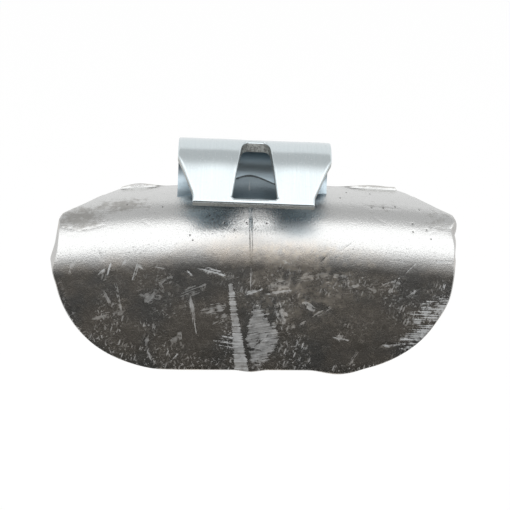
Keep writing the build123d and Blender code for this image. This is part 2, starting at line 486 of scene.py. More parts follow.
depth = np.where(np.ptp([front_rows[:, 0], back_rows[:, 0]], 0) > 0, back_rows[:, 0] - front_rows[:, 0], 1.0)
parting_share = np.clip((parting_y - front_rows[:, 0]) / depth, thin, 1.0 - 3 * thin)[:, None]
crease_low, crease_high = parting_share + thin, np.full_like(parting_share, 1.0 - thin)
for _ in range(halvings):
    crease = (crease_low + crease_high) / 2
    shows = wall_shows(crease)
    crease_low = np.where(shows, crease, crease_low)
    crease_high = np.where(shows, crease_high, crease)
end_share = np.concatenate(
    [
        line(0.0, 1.0, draft_cells) * parting_share,
        parting_share + line(0.0, 1.0, wall_cells)[1:] * (crease - parting_share),
        crease + line(0.0, 1.0, facet_cells)[1:] * (1.0 - crease),
    ],
    1,
)[:, 1:-1]
end_cells = end_share.shape[1]
front_side = place(line(-1.0, 1.0, front_cells)[None], front_rows[:, None])
right_end = place(np.ones((1, 1)), between(end_share))
back_side = place(line(1.0, -1.0, back_cells)[None], back_rows[:, None])
left_end = place(-np.ones((1, 1)), between(end_share[:, ::-1]))
front_side[1:-top_rows, [0, -1], 1] += edge / 2
loop = np.concatenate([front_side, right_end, back_side, left_end], 1)
row_count, loop_count = loop.shape[:2]

# Uneven outline: bumps along the foot, the ends and the top edge, by middle, half width and height
foot_sags = [(15.2, 5.5, 0.75), (-0.2, 3.2, 0.35), (-21.0, 9.0, -0.25)]
right_bulges = [(-20.2, 4.0, 0.15), (-29.0, 5.0, 0.15), (-10.5, 3.5, 0.5)]
left_bulges = [(-14.5, 3.5, -0.35)]
left_corner = [(-5.6, 3.0, 1.6)]
top_flash = [(-20.3, 5.4, 0.7), (21.0, 6.4, 0.6), (25.4, 3.0, 0.35)]
facet_bulge = 1.2
knob_reach, knob_y, knob_z, knob_start = 1.2, 0.6, -7.6, 31.0


def swell(value, middle, half):
    """A smooth bump of height 1, gone at half each side of the middle."""
    return 1.0 - ease(np.abs(value - middle), 0.0, half)


def swells(value, bumps):
    """Sum of smooth bumps."""
    return sum(height * swell(value, middle, half) for middle, half, height in bumps)


cast_x, cast_y, cast_z = (loop[..., axis].copy() for axis in range(3))
loop[..., 2] -= swells(cast_x, foot_sags) * (1.0 - ease(cast_z, foot_z, seat_z))
bulge = np.where(cast_x > 0, swells(cast_z, right_bulges), swells(cast_z, left_bulges))
bulge += (cast_x < 0) * swells(cast_z, left_corner) * ease(cast_y, -1.0, 4.0)
loop[..., 0] += bulge * ease(np.abs(cast_x - body_offset), 18.0, 34.0)
loop[..., 0] += facet_bulge * ease(cast_y, 2.0, 7.0) * swell(cast_x, 25.0, 7.0) * ease(cast_z, -9.0, -4.0)
knob = np.sqrt(swell(cast_z, knob_z, 2.0) * swell(cast_y, knob_y, 2.4)) * (cast_x > knob_start)
loop[..., 0] += knob_reach * knob
loop[-1, :, 2] += swells(cast_x[-1], top_flash)

# Root of the clip: the lead climbs the strip's inner face in an arch, and then goes under the strip
seat_start = under_rows + edge_rows + face_rows
root_row = seat_start + round(seat_rows * loop_lean / 90.0)
crest_row = seat_start + seat_rows
dive_row = crest_row + top_rows // 2
buried = loop_radius + gauge / 2
arch_top = -9.0
arch_least = -41.0
film_half = 9.0
root_half = clip_width / 2 - 0.6
climb_end = 0.85
skew_x = loop[..., 0] * cos(clip_skew) - loop[..., 2] * sin(clip_skew)
skew_z = loop[..., 0] * sin(clip_skew) + loop[..., 2] * cos(clip_skew)
arch = arch_top - arch_fall * (np.hypot(skew_x - ridge_x, arch_round) - arch_round)
arch = np.maximum(arch, arch_least)
film_turn = np.degrees(np.arctan2(skew_z, loop[..., 1]))
film_radius = np.hypot(skew_z, loop[..., 1])
root_radius = film_radius[root_row].copy()
root = slice(root_row, crest_row + 1)
climb = line(0.0, 1.0, crest_row - root_row)[:, None]
film_turn[root] = film_turn[root_row] * (1.0 - climb) + arch[root] * climb
film_radius[root] = root_radius + (loop_radius - film - root_radius) * ease(climb, 0.0, climb_end)
dive = slice(crest_row + 1, dive_row)
sink = line(0.0, 1.0, top_rows // 2 - 2)[:, None]
film_turn[dive] = arch[dive] * (1.0 - sink) + film_turn[dive] * sink
film_radius[dive] = buried
moved = np.abs(skew_x) < root_half
moved[:, front_cells + 1 :] = False
moved[:root_row] = False
moved[dive_row:] = False
risen = film_radius * np.sin(np.radians(film_turn))
film_x = risen * sin(clip_skew) + skew_x * cos(clip_skew)
film_y = film_radius * np.cos(np.radians(film_turn))
film_z = risen * cos(clip_skew) - skew_x * sin(clip_skew)
film_share = (moved * (1.0 - ease(np.abs(skew_x), film_half, root_half)))[..., None]
loop += film_share * (np.stack([film_x, film_y, film_z], -1) - loop)

# Wear, laid out on the rim side by its place along the part (x) and the way up it from the foot (s)
front = loop[:, : front_cells + 1]
filmed = moved[:, : front_cells + 1]
face_x = front[..., 0]
reach_up = np.hypot(front[..., 2] + wheel_radius, face_x - body_offset) - wheel_radius
lift = np.clip((reach_up - seat_z) / seat_radius, -1.0, 1.0)
seat_s = seat_z - foot_front
face_s = np.where(reach_up < seat_z, reach_up - foot_front, seat_s + seat_radius * np.arcsin(lift))
face_s[seat_start:crest_row] = (seat_s + seat_radius * seat_turn[:-1])[:, None]
top_step = 0.2
crest_s = seat_s + seat_radius * pi / 2
face_s[crest_row:] = crest_s + top_step * np.arange(row_count - crest_row)[:, None]
relief, bare, shine, lay, dirt_and_shade = (np.zeros_like(face_x) for _ in range(5))
soft = 0.3


def grain(size, seed, along=1.0):
    """Smooth random field 0..1 on the face: random values at the corners of cells, eased between.

    With along at 0 it changes only up the face.
    """
    side = 97
    table = np.random.default_rng(seed).random((side, side))
    grid_x, grid_s = along * face_x / size, face_s / size
    cell_x, cell_s = np.floor(grid_x).astype(int), np.floor(grid_s).astype(int)
    part_x, part_s = ease(grid_x - cell_x, 0.0, 1.0), ease(grid_s - cell_s, 0.0, 1.0)
    nearby = [[table[(cell_x + i) % side, (cell_s + j) % side] for i in (0, 1)] for j in (0, 1)]
    lower, upper = ((1.0 - part_x) * pair[0] + part_x * pair[1] for pair in nearby)
    return (1.0 - part_s) * lower + part_s * upper


def patch(middle_x, half_x, middle_s, half_s, height):
    """A soft patch of the face: a smooth bump along it times one up it."""
    return height * swell(face_x, middle_x, half_x) * swell(face_s, middle_s, half_s)


def spread(gap):
    """Mask that is 0.5 where the gap to a mark's edge is 0, and grows inside the mark."""
    return np.clip(0.5 + gap / (2.0 * soft), 0.0, 1.0)


def blade(start, stop, *widths):
    """Mask of a blade-shaped mark, with its half widths spaced evenly from start to stop."""
    run_x, run_s = np.subtract(stop, start)
    length = np.hypot(run_x, run_s)
    from_x, from_s = face_x - start[0], face_s - start[1]
    share = (from_x * run_x + from_s * run_s) / length**2
    aside = (from_s * run_x - from_x * run_s) / length
    half = np.interp(share, np.linspace(0.0, 1.0, len(widths)), widths)
    past = length * np.clip(np.abs(share - 0.5) - 0.5, 0.0, None)
    return spread(half - np.hypot(aside, past))


def lay_bare(mask, strength, lies=0.0):
    """Adds a bared mark: its mask, how bright it is, and which way its fine lines run."""
    wins = mask > bare
    bare[wins] = mask[wins]
    shine[wins] = strength
    lay[wins] = lies


# Middle ridge up the seat, with painted shade along its sides and a bright tip at its upper end
ridge_way, ridge_places = (15.9, 21.8, 30.0), (-0.05, -0.24, -0.42)
crown_height, crown_half = 0.2, 0.22
flank_depth, flank_half = 0.08, 0.55
ridge_line = np.interp(face_s, ridge_way, ridge_places)
ridge_grows = ease(face_s, 14.0, 16.5) * (0.15 + 0.85 * ease(face_s, 16.0, 25.0))
ridge_grows = ridge_grows * ease(33.0 - face_s, 0.0, 2.0)
off_ridge = face_x - ridge_line
ridge_crown = crown_height * np.exp(-((off_ridge / crown_half) ** 2))
ridge_flanks = flank_depth * np.exp(-((off_ridge / flank_half) ** 2))
relief += ridge_grows * (ridge_crown - ridge_flanks)
# Painted shade: dark lines along both sides of the ridge
ridge_side_shade = spread(0.05 - np.abs(np.abs(off_ridge) - 0.23)) * ease(face_s, 17.0, 20.0)
ridge_side_shade = ridge_side_shade * (0.6 + 0.4 * ease(face_s, 21.0, 24.5))
dirt_and_shade = np.maximum(dirt_and_shade, ridge_side_shade * ease(28.8 - face_s, 0.0, 0.4))
# Painted shadow: a dark line along the lead's arch in the window, where the lead meets the strip
arch_rows = slice(crest_row - 1, crest_row + 1)
arch_shadow_line = 0.5 * filmed[arch_rows] * (np.abs(face_x[arch_rows]) < 6.0)
dirt_and_shade[arch_rows] = np.maximum(dirt_and_shade[arch_rows], arch_shadow_line)
lay_bare(blade((-0.42, 28.9), (-0.42, 30.5), 0.4, 0.05), 0.9, pi / 2)
lay_bare(blade((-0.62, 33.4), (-0.55, 35.6), 0.06, 0.1, 0.02), 0.55, pi / 2)

# Scrapes that bared the metal: where each runs from and to, its half widths, and how bright it is
scrapes = [
    ((-6.64, 6.0), (-3.0, 5.4), (0.02, 0.22), 0.8),
    ((-6.3, 5.25), (-2.7, 4.4), (0.02, 0.25), 0.8),
    ((-5.3, 6.8), (-3.2, 6.4), (0.02, 0.2), 0.8),
    ((-1.3, 14.7), (1.7, 15.7), (0.05, 0.4, 0.3, 0.05), 0.9),
    ((2.5, 14.8), (6.65, 15.6), (0.05, 0.3, 0.25, 0.05), 0.6),
    ((-0.3, 20.0), (-0.2, 15.2), (0.05, 0.15, 0.3), 0.45),
    ((-9.6, 19.8), (-5.0, 18.35), (0.05, 0.25, 0.22, 0.15), 1.0),
    ((-8.2, 19.9), (-5.6, 19.2), (0.05, 0.1), 0.7),
    ((-11.3, 19.4), (-10.4, 18.5), (0.05, 0.15, 0.05), 0.8),
    ((-10.75, 14.6), (-9.75, 7.4), (0.02, 0.25, 0.2, 0.05), 0.5),
    ((-25.9, 16.8), (-24.5, 13.6), (0.05, 0.3, 0.25, 0.05), 0.42),
    ((-23.6, 17.6), (-22.6, 11.4), (0.04, 0.1, 0.02, 0.08), 0.4),
    ((-18.6, 13.8), (-16.6, 15.8), (0.15, 0.65, 0.45, 0.1), 0.42),
    ((-16.7, 15.7), (-15.0, 18.0), (0.12, 0.1), 0.55),
    ((-18.2, 7.9), (-18.6, 5.0), (0.02, 0.25, 0.05), 0.45),
    ((-18.4, 4.6), (-17.4, 1.8), (0.02, 0.2, 0.02), 0.45),
    ((-14.3, 5.2), (-12.6, 7.6), (0.25, 0.4, 0.15), 0.4),
    ((-12.6, 7.6), (-12.4, 5.4), (0.2, 0.1), 0.4),
    ((-15.4, 1.2), (-12.6, 4.1), (0.06, 0.08), 0.6),
    ((-22.4, 20.9), (-21.7, 22.0), (0.05, 0.12, 0.05), 0.7),
    ((16.6, 16.4), (18.9, 17.4), (0.08, 0.1), 0.45),
    ((18.9, 17.4), (21.3, 16.2), (0.1, 0.08), 0.45),
    ((21.6, 17.0), (24.6, 18.4), (0.03, 0.15, 0.1), 0.6),
    ((23.6, 15.8), (24.4, 17.6), (0.04, 0.2), 0.55),
    ((24.0, 18.2), (26.3, 18.0), (0.2, 0.05), 0.6),
    ((25.3, 18.9), (28.2, 22.0), (0.01, 0.03, 0.01), 0.8),
    ((24.6, 22.1), (27.0, 21.9), (0.05, 0.1, 0.05), 0.6),
    ((26.6, 15.5), (28.9, 17.6), (0.04, 0.1, 0.05), 0.7),
    ((33.0, 17.8), (33.2, 18.9), (0.05, 0.14, 0.05), 0.9),
    ((22.4, 5.9), (25.9, 6.5), (0.05, 0.45, 0.3, 0.05), 0.9),
    ((31.8, 22.5), (34.5, 23.0), (0.05, 0.1), 0.8),
    ((17.2, 2.0), (18.5, 4.2), (0.05, 0.3, 0.05), 0.3),
    ((5.1, 21.2), (6.4, 20.4), (0.04, 0.08), 0.5),
    ((-30.6, 22.6), (-31.5, 20.4), (0.1, 0.3, 0.1), 0.4),
    ((-26.5, 19.6), (-25.5, 20.4), (0.1, 0.25, 0.1), 0.6),
    ((-25.0, 19.4), (-24.4, 21.4), (0.05, 0.08), 0.7),
    ((-20.6, 18.2), (-19.8, 20.8), (0.05, 0.1, 0.15), 0.6),
    ((-19.8, 20.8), (-18.9, 20.2), (0.1, 0.15, 0.05), 0.7),
    ((-16.8, 20.4), (-15.0, 19.9), (0.1, 0.18, 0.05), 0.6),
]
rubs = [
    ((3.0, 16.2), (6.4, 16.9), (0.4, 1.1, 0.6), 0.35),
    ((4.6, 12.6), (5.6, 9.4), (0.8, 1.0, 0.3), 0.45),
    ((9.2, 13.0), (10.6, 12.2), (0.5, 0.7, 0.4), 0.45),
    ((7.4, 17.6), (12.4, 18.8), (0.3, 0.8, 0.5), 0.25),
    ((14.2, 18.7), (16.2, 18.3), (0.25, 0.4, 0.25), 0.4),
    ((16.2, 18.3), (16.4, 15.9), (0.35, 0.3, 0.15), 0.4),
    ((10.5, 10.5), (13.5, 12.5), (0.1, 0.4, 0.1), 0.35),
    ((6.8, 8.6), (9.8, 10.2), (0.1, 0.35, 0.1), 0.35),
    ((14.4, 7.0), (16.6, 6.6), (0.2, 0.7, 0.3), 0.5),
    ((-8.6, 11.6), (-5.2, 12.4), (0.3, 0.9, 0.6), 0.4),
    ((-12.2, 14.8), (-8.4, 16.4), (0.2, 0.9, 0.4), 0.35),
    ((-19.2, 15.2), (-16.2, 14.6), (0.4, 0.8, 0.3), 0.35),
    ((-15.8, 17.2), (-13.4, 18.2), (0.3, 0.6, 0.2), 0.35),
    ((-27.6, 11.4), (-22.4, 12.2), (0.2, 0.5, 0.2), 0.3),
    ((-6.6, 9.4), (-4.6, 10.6), (0.3, 0.8, 0.4), 0.4),
]
scrape_cap, rub_cap = 0.72, 0.5
for marks, cap in ((scrapes, scrape_cap), (rubs, rub_cap)):
    for start, stop, widths, strength in marks:
        mask = np.minimum(blade(start, stop, *widths), cap)
        lay_bare(mask, strength, np.arctan2(stop[1] - start[1], stop[0] - start[0]))

# The long scrape down from the ridge, and a lozenge struck flat beside it with dark slits across it
long_scrape = blade((-3.82, 16.5), (-1.70, -0.5), 0.3, 0.55, 0.72, 0.95, 1.2)
lay_bare(np.minimum(long_scrape, 0.88), 0.66)
lozenge_at = (0.6, 6.4)
lozenge_left, lozenge_right, lozenge_half = 1.7, 4.1, 5.9
lozenge_power = 1.25
lozenge_x = np.abs(face_x - lozenge_at[0]) / np.where(face_x < lozenge_at[0], lozenge_left, lozenge_right)
lozenge_s = np.abs(face_s - lozenge_at[1]) / lozenge_half
lozenge = 1.0 - (lozenge_x**lozenge_power + lozenge_s**lozenge_power) ** (1.0 / lozenge_power)
slits = blade((0.4, 4.8), (2.7, 6.8), 0.02, 0.12, 0.02)
slits = np.maximum(slits, blade((-0.8, 4.4), (1.9, 3.9), 0.25, 0.16, 0.02))
struck = np.minimum(spread(1.2 * lozenge), 1.0 - slits)
lay_bare(np.minimum(struck, 0.9), 0.54, 0.2)
dirt_and_shade = np.maximum(dirt_and_shade, 0.8 * slits)

# File marks towards the lower corner at one end, in strokes that stop short at random
end_gap = front[:, -1:, 0] - face_x
stroke_least, stroke_spread, stroke_height = 1.2, 3.4, 1.6
strokes = stroke_least + stroke_spread * grain(stroke_height, 7, 0.0)
filed = spread((strokes - end_gap) * 0.1)
filed = filed * swell(face_s, 11.2, 6.0) ** 0.25
lay_bare(np.where(filed > 0.05, np.minimum(filed, 0.54), 0.0), 0.82, 0.1)

# Worn edges of the flat face, and places where it or the seat above it is rubbed or pitted
gaps = np.minimum(end_gap, face_x - front[:, :1, 0])
worn = spread(0.5 * grain(1.4, 11) - 0.12 - gaps) * (1.0 - ease(face_s, 21.0, 24.0))
lay_bare(worn, 0.6, 1.2)
rubbed = 0.5 * (1.0 - ease(np.minimum(gaps, face_s), 0.3, 3.5)) + grain(4.2, 43)
rubbed = ease(rubbed + 0.4 * grain(1.6, 47), 0.55, 1.05)
rubbed = np.maximum(rubbed, patch(5.5, 6.5, 14.0, 6.0, 0.9))
seat_pits = 0.12 + patch(-1.0, 15.0, 28.0, 5.0, 0.88) + 0.4 * swell(face_s, 22.5, 3.5)
rubbed = rubbed * (1.0 - ease(face_s, 19.0, 22.0)) + seat_pits * ease(face_s, 20.0, 23.0)

# Pits and grooves in the smooth seat, which hold dirt
pits = [
    (-15.6, 31.2), (-10.8, 25.6), (-10.3, 24.7), (16.4, 35.9), (15.2, 33.8), (20.5, 35.9), (20.6, 31.6),
    (22.6, 31.8), (24.7, 32.3), (28.9, 32.1), (27.6, 28.9), (30.0, 28.0), (27.6, 27.4), (30.7, 26.4),
    (-21.8, 32.2), (-7.4, 29.1), (-4.9, 27.6), (-3.2, 26.4), (-1.1, 27.7), (2.4, 27.6),
]
pit_radius, pit_depth, pit_dirt = 0.16, 0.05, 0.95
for pit_x, pit_s in pits:
    hole = spread(pit_radius - np.hypot(face_x - pit_x, face_s - pit_s))
    relief -= pit_depth * hole
    dirt_and_shade = np.maximum(dirt_and_shade, pit_dirt * hole)
grooves = [
    ((-19.8, 30.3), (-15.6, 30.0), 0.12, 0.7),
    ((-32.6, 28.4), (-30.1, 27.5), 0.16, 0.75),
    ((-30.2, 27.4), (-27.6, 27.8), 0.14, 0.75),
    ((-31.8, 27.0), (-29.4, 26.8), 0.12, 0.7),
    ((-27.6, 27.8), (-25.6, 28.2), 0.08, 0.7),
    ((-19.0, 28.6), (-17.9, 27.6), 0.1, 0.7),
    ((15.4, 23.4), (17.4, 25.0), 0.06, 0.9),
    ((12.9, 22.4), (11.6, 21.0), 0.14, 0.9),
    ((-27.0, 24.7), (-25.7, 22.2), 0.1, 0.8),
    ((26.0, 25.2), (26.9, 23.6), 0.14, 0.65),
    ((19.4, 32.0), (22.2, 31.7), 0.1, 0.7),
    ((22.6, 31.9), (25.4, 31.8), 0.1, 0.7),
    ((20.4, 30.0), (22.6, 28.6), 0.06, 0.7),
    ((30.4, 27.2), (31.6, 27.8), 0.08, 0.75),
    ((33.0, 24.6), (33.2, 26.0), 0.08, 0.7),
]
groove_depth = 0.04
for start, stop, widest, dirt in grooves:
    groove = blade(start, stop, 0.3 * widest, widest, 0.4 * widest)
    relief -= groove_depth * groove
    dirt_and_shade = np.maximum(dirt_and_shade, dirt * groove)

# Films: dull on the flat face, brown clouds, stains on the shoulders, bluish painted shade by the clip
film_from, film_to = 20.0, 24.5
ring_x, ring_s, ring_radius = 15.1, 17.1, 1.3
clouds = [(9.5, 15.0, 15.5, 11.5, 1.0), (8.0, 16.0, 21.8, 3.6, 0.75)]
# A patch of painted shade on the seat under the clip
under_clip_shade = (7.6, 5.5, 26.4, 2.6, 0.6)
stains = [
    (-30.0, 8.0, 30.2, 4.6, 1.0),
    (32.5, 6.0, 29.8, 5.0, 0.6),
    (-23.0, 9.5, 32.2, 3.4, 0.9),
    (22.0, 11.0, 31.8, 3.0, 0.4),
]
film_top = face_s - 2.2 * swell(face_x, 3.0, 30.0) + 2.0 * grain(3.0, 9)
flat = 1.0 - ease(film_top, film_from, film_to)
dull = 1.0 - ease(film_top - 1.6 * swell(face_x, 2.5, 17.0), film_from, film_to)
off_ring = np.abs(np.hypot(face_x - ring_x, face_s - ring_s) - ring_radius)
ring = 0.9 * (1.0 - ease(off_ring, 0.2, 0.7))
cloud = np.maximum.reduce([ring, *(patch(*shape) for shape in clouds)])
# Painted shade: a dark bluish tint on the lead film inside the window, joined by the patch under the clip
clip_shade = filmed * ease(face_s, 32.4, 33.2) * (1.0 - ease(np.abs(face_x), 8.0, 11.0))
clip_shade = np.maximum(clip_shade, patch(*under_clip_shade))
stain = np.maximum.reduce([patch(*shape) for shape in stains])
stain[-1] = 1.0

# The skin of the casting is never quite flat, and the relief fades out towards its edges
ripples = 0.05 * grain(6.0, 29)
ripples += (0.014 + 0.03 * flat) * grain(2.1, 31)
ripples += (0.002 + 0.014 * flat) * grain(0.75, 37)
relief += ripples - 0.03 * ease(bare, 0.35, 0.65) * shine
end_fade, foot_fade, top_fade = 0.02, 8.0, 8.0
across_front = line(-1.0, 1.0, front_cells)[None]
row_index = np.arange(row_count)[:, None]
hold = ease(1.0 - np.abs(across_front), 0.0, end_fade)
hold = hold * ease(row_index, under_rows, under_rows + foot_fade)
hold = hold * (1.0 - ease(row_index, row_count - top_fade, row_count - 2.0))
hold = np.where(filmed & (row_index > crest_row - 3), 0.0, hold)
normal = np.cross(np.gradient(front, axis=1), np.gradient(front, axis=0))
normal = normal / np.linalg.norm(normal, axis=-1, keepdims=True)
loop[:, : front_cells + 1] += normal * (relief * hold)[..., None]

# Vertices: the first and last rows have front points only, and the ends and the back close on them
foot_points, top_points = loop[0, : front_cells + 1], loop[-1, : front_cells + 1]
cast_points = np.concatenate([foot_points, loop[1:-1].reshape(-1, 3), top_points])
middle_start = front_cells + 1
last_start = middle_start + (row_count - 2) * loop_count
loop_points = middle_start + np.arange((row_count - 2) * loop_count).reshape(row_count - 2, loop_count)
wrap = np.concatenate([loop_points, loop_points[:, :1]], 1)
cast_quads = np.stack([wrap[:-1, :-1], wrap[:-1, 1:], wrap[1:, 1:], wrap[1:, :-1]], -1).reshape(-1, 4)


def close(fine_row, coarse_row):
    """Faces between a row of front points and the whole loop beside it, ordered for the lower end."""
    cells = np.arange(front_cells)
    shown = np.stack([fine_row[cells], fine_row[cells + 1], coarse_row[cells + 1], coarse_row[cells]], 1)
    right = np.arange(front_cells, front_cells + end_cells + 1)
    left = np.arange(loop_count - end_cells - 1, loop_count)
    right_fan = np.stack([np.full(len(right), fine_row[-1]), coarse_row[right + 1], coarse_row[right]], 1)
    left_fan = np.stack([np.full(len(left), fine_row[0]), coarse_row[left + 1], coarse_row[left]], 1)
    cells = np.arange(back_cells)
    steps = front_cells - fine * cells[:, None] - np.arange(fine + 1)
    column = front_cells + 1 + end_cells + cells
    pair = np.stack([coarse_row[column + 1], coarse_row[column]], 1)
    hidden = np.concatenate([fine_row[steps], pair], 1)
    return [*shown.tolist(), *right_fan.tolist(), *left_fan.tolist(), *hidden.tolist()]


lower_faces = close(np.arange(front_cells + 1), wrap[0])
upper_faces = [face[::-1] for face in close(last_start + np.arange(front_cells + 1), wrap[-1])]
mesh = bpy.data.meshes.new("lead_body_cast")
mesh.from_pydata((cast_points * MM).tolist(), [], [*cast_quads.tolist(), *lower_faces, *upper_faces])
mesh.update()
fields = {
    "bare": bare,
    "shine": shine,
    "lay": lay,
    "rubbed": rubbed,
    "cloud": cloud,
    "stain": stain,
    "dirt_and_shade": dirt_and_shade,
    "dull": dull,
    "clip_shade": clip_shade,
    "skin": np.zeros_like(bare),
    "up": (face_s + foot_front) * MM,
}
elsewhere = {"dull": 0.5, "skin": 1.0, "up": loop[..., 2] * MM}
for name, field in fields.items():
    whole = elsewhere.get(name, 0.0) + np.zeros((row_count, loop_count))
    whole[:, 1:front_cells] = field[:, 1:-1]
    whole = np.concatenate([whole[0, : front_cells + 1], whole[1:-1].ravel(), whole[-1, : front_cells + 1]])
    layer = mesh.attributes.new(name, "FLOAT", "POINT")
    layer.data.foreach_set("value", whole.astype(np.float32))
sharp_turn = 20.0
lead_piece = bpy.data.objects.new("lead_body_cast", mesh)
bpy.context.scene.collection.objects.link(lead_piece)
mesh.shade_smooth()
mesh.set_sharp_from_angle(angle=radians(sharp_turn))

# Lead: bright where the mould was smooth, dark under its dull film, paler and matt where it is scraped
clean_colour = (0.64, 0.645, 0.64, 1.0)
film_colour = (0.44, 0.43, 0.415, 1.0)
brown_film_colour = (0.58, 0.53, 0.475, 1.0)
cloud_colour = (0.73, 0.66, 0.57, 1.0)
bare_colour = (0.70, 0.715, 0.72, 1.0)
stain_colour = (0.30, 0.29, 0.27, 1.0)
# Near black, for dirt in pits, grooves and slits, and for painted shade along the ridge and the arch
dirt_and_shade_colour = (0.09, 0.09, 0.085, 1.0)
# Dark blue-grey of the painted shade by the clip
clip_shade_colour = (0.34, 0.40, 0.435, 1.0)
lead, wire, surface = new_material("cast_lead")
mark = {name: marked(wire, name) for name in fields}
place_in = wire.node("ShaderNodeTexCoord", {}, {}, "Object")
along_x = wire.node("ShaderNodeSeparateXYZ", {}, {0: place_in}, "X")


def stretched(lies, per_along, per_across):
    """Place on the face, turned by an angle given as a number or a socket, then scaled both ways."""
    if isinstance(lies, Wire):
        cosine, sine = wire.math("COSINE", lies), wire.math("SINE", lies)
    else:
        cosine, sine = cos(lies), sin(lies)
    first = along_x * cosine + mark["up"] * sine
    second = mark["up"] * cosine - along_x * sine
    return wire.node("ShaderNodeCombineXYZ", {}, {0: first * per_along, 1: second * per_across})


def spots(lies, long, wide, share, size):
    """Stretched spots of up to that size, one in a share of the cells of long by wide metres, turned."""
    cell = stretched(lies, 1.0 / long, 1.0 / wide)
    kind = {"voronoi_dimensions": "2D"}
    away = wire.node("ShaderNodeTexVoronoi", kind, {"Vector": cell, "Scale": 1.0}, "Distance")
    lot = wire.node("ShaderNodeTexVoronoi", kind, {"Vector": cell, "Scale": 1.0}, "Color")
    lot = wire.node("ShaderNodeSeparateColor", {}, {0: lot}, 0)
    return (lot.step(1.0 - share, 1.2) * size - away).step(0.0, 0.07)


speckle = noise(place_in, 4200.0, 2.0)
mottle = noise(place_in, 1000.0, 9.0)
blotch = noise(place_in, 130.0, 3.0)
patches = noise(place_in, 420.0, 6.0).step(0.46, 0.58)
grit = noise(place_in, 5200.0, 1.0).step(0.54, 0.66)
lines_along, lines_across = 230.0, 5200.0
lines = noise(stretched(mark["lay"], lines_along, lines_across), 1.0, 2.0)

# Bared metal: the scrapes, which crumble where they are weak
crumbly = 2.1 - 1.3 * mark["shine"]
ragged = mark["bare"] + 1.6 * (lines - 0.5) + crumbly * (mottle - 0.5) + 0.5 * (speckle - 0.5)
bared = ragged.step(0.45, 0.62) * mark["shine"] * (2.6 * lines + 1.2 * mottle + 0.8 * speckle - 1.4)

# Nicks by angle, length and width in millimetres, and the share of places that have one
nick_size = 0.4
nick_kinds = [(1.25, 2.2, 0.5, 0.5), (1.9, 1.6, 0.4, 0.4), (0.4, 1.4, 0.4, 0.35), (0.7, 0.6, 0.5, 0.45)]
scuff_angles = (1.3, 2.3, 0.2)
scuffs_along, scuffs_across = 600.0, 2600.0
nicked = mark["rubbed"] * mark["dull"] * (0.1 + 0.8 * mottle)
scuffed = 0.42 * mark["dull"] * (0.15 + 0.6 * mark["rubbed"])
for lies, long, wide, share in nick_kinds:
    bared = bared.most(nicked * spots(lies, long * MM, wide * MM, share, nick_size))
for lies in scuff_angles:
    scuffs = noise(stretched(lies, scuffs_along, scuffs_across), 1.0, 4.0)
    bared = bared.most(scuffed * scuffs.step(0.57, 0.76))

# Films, dirt and painted shade
clouded = mark["cloud"] * (0.05 + 0.5 * mottle.step(0.43, 0.62) + 0.5 * patches)
clouded = clouded + 0.3 * mark["dull"] * mottle.step(0.5, 0.75)
stained = 0.66 * (mark["stain"] + 1.6 * (mottle - 0.5) + 1.1 * (lines - 0.5)).step(0.3, 0.95)
pitted = (1.0 - mark["dull"]) * mark["rubbed"]
dots = spots(0.3, 0.9 * MM, 0.7 * MM, 0.4, 0.3).most(0.7 * grit) * pitted
# Dirt, together with the painted shade along the ridge and the arch
dirt_and_shade_mask = (mark["dirt_and_shade"] + 0.3 * (speckle - 0.5)).step(0.35, 0.6) + 0.9 * dots
film_tint = blotch.step(0.38, 0.64).tint(film_colour, brown_film_colour)
colour = mark["dull"].tint(clean_colour, film_tint)
colour = clouded.tint(colour, cloud_colour)
colour = stained.tint(colour, stain_colour)
# Painted shade by the clip
colour = mark["clip_shade"].tint(colour, clip_shade_colour)
colour = bared.tint(colour, bare_colour)
colour = dirt_and_shade_mask.tint(colour, dirt_and_shade_colour)
rough = 0.24 + 0.25 * mark["skin"] + 0.3 * mark["clip_shade"] + 0.12 * clouded + 0.4 * bared
rough = rough + 0.2 * dirt_and_shade_mask + 0.1 * stained + 0.15 * (speckle - 0.5)
cast_skin = {"Strength": 0.9, "Distance": 0.03 * MM, "Height": speckle * (1.0 + 0.5 * pitted)}
skin_bump = wire.node("ShaderNodeBump", {}, cast_skin, "Normal")
inputs = {"Base Color": colour, "Metallic": 1.0 - 0.5 * bared, "Roughness": rough, "Normal": skin_bump}
wire.node("ShaderNodeBsdfPrincipled", {}, inputs).into(surface)
mesh.materials.append(lead)
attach(lead_piece, "root")
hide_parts("lead_body")


# Studio: a pale floor below the part, two soft lights before it and a pale room round it. A card lies
# before the part, out of the camera's sight, dark where the flat face mirrors it, and a grey ceiling
# and wall show in the top of the clip.


def grey(value):
    """A grey of that value."""
    return (value, value, value, 1.0)


def flat_sheet(name, corners, material):
    """A rectangle from its four corners, kept off the part."""
    panel_mesh = bpy.data.meshes.new(name)
    panel_mesh.from_pydata(corners, [], [(0, 1, 2, 3)])
    panel_mesh.materials.append(material)
    panel = bpy.data.objects.new(name, panel_mesh)
    bpy.context.scene.collection.objects.link(panel)
    return panel


def level(half_length, nearest, farthest, z):
    """Corners of a level rectangle, between two distances along y."""
    left, right = -half_length, half_length
    return [(left, nearest, z), (right, nearest, z), (right, farthest, z), (left, farthest, z)]


def seen_directly(paint):
    """1 for rays from the camera, mirrors and glass, and 0 for the light that falls on matt things."""
    rays = ("Is Camera Ray", "Is Glossy Ray", "Is Transmission Ray")
    from_camera, from_mirror, from_glass = (paint.node("ShaderNodeLightPath", {}, {}, ray) for ray in rays)
    return from_camera.most(from_mirror).most(from_glass)


